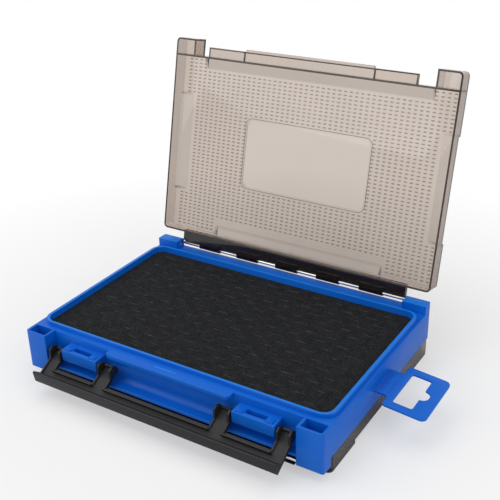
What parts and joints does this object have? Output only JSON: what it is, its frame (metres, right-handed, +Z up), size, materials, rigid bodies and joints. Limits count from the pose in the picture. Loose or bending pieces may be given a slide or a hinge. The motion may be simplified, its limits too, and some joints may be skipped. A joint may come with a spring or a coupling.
{
  "type": "double-sided tackle box",
  "caption": "Shallow fishing tackle box with a clear tinted lid on each face, foam-lined trays, steel hinge rods, black latch bars and a side hanger tab.",
  "frame": {"origin": "under the middle of the closed box, on the lower lid's outer face", "axes": "+X to the side with the hanger tab, +Y from the front (upper latch) to the rear (upper hinge), +Z up"},
  "size_m": [0.2388, 0.2001, 0.1757],
  "materials": {
    "tray": "satin moulded polypropylene",
    "lid": "smoke tinted, clear, glossy",
    "rod": "bright drawn wire",
    "latch": "satin black",
    "foam": "matt closed-cell foam with slits"
  },
  "bodies": {
    "tray": {"tray_body": "tray", "upper_hinge_rod": "rod", "lower_hinge_rod": "rod", "upper_foam_pad": "foam", "lower_foam_pad": "foam"},
    "upper_lid": {"upper_lid": "lid"},
    "lower_lid": {"lower_lid": "lid"},
    "upper_latch": {"upper_latch_bar": "latch"},
    "lower_latch": {"lower_latch_bar": "latch"},
    "hanger": {"hanger_tab": "tray"}
  },
  "joints": [
    {"name": "upper_lid_hinge", "type": "hinge", "parent": "tray", "child": "upper_lid", "pos_m": [0, 0.0709, 0.0353], "axis": [1, 0, 0], "range_deg": [0, 103]},
    {"name": "lower_lid_hinge", "type": "hinge", "parent": "tray", "child": "lower_lid", "pos_m": [0, -0.0709, 0.0087], "axis": [1, 0, 0], "range_deg": [-103, 0]},
    {"name": "upper_latch_pivot", "type": "hinge", "parent": "tray", "child": "upper_latch", "pos_m": [0, -0.0695, 0.0223], "axis": [1, 0, 0], "range_deg": [-121, 0]},
    {"name": "lower_latch_pivot", "type": "hinge", "parent": "tray", "child": "lower_latch", "pos_m": [0, 0.0695, 0.0217], "axis": [1, 0, 0], "range_deg": [-25, 96]},
    {"name": "hanger_crease", "type": "hinge", "parent": "tray", "child": "hanger", "pos_m": [0.105, 0, 0.022], "axis": [0, -1, 0], "range_deg": [-84.2, 95.8]}
  ]
}
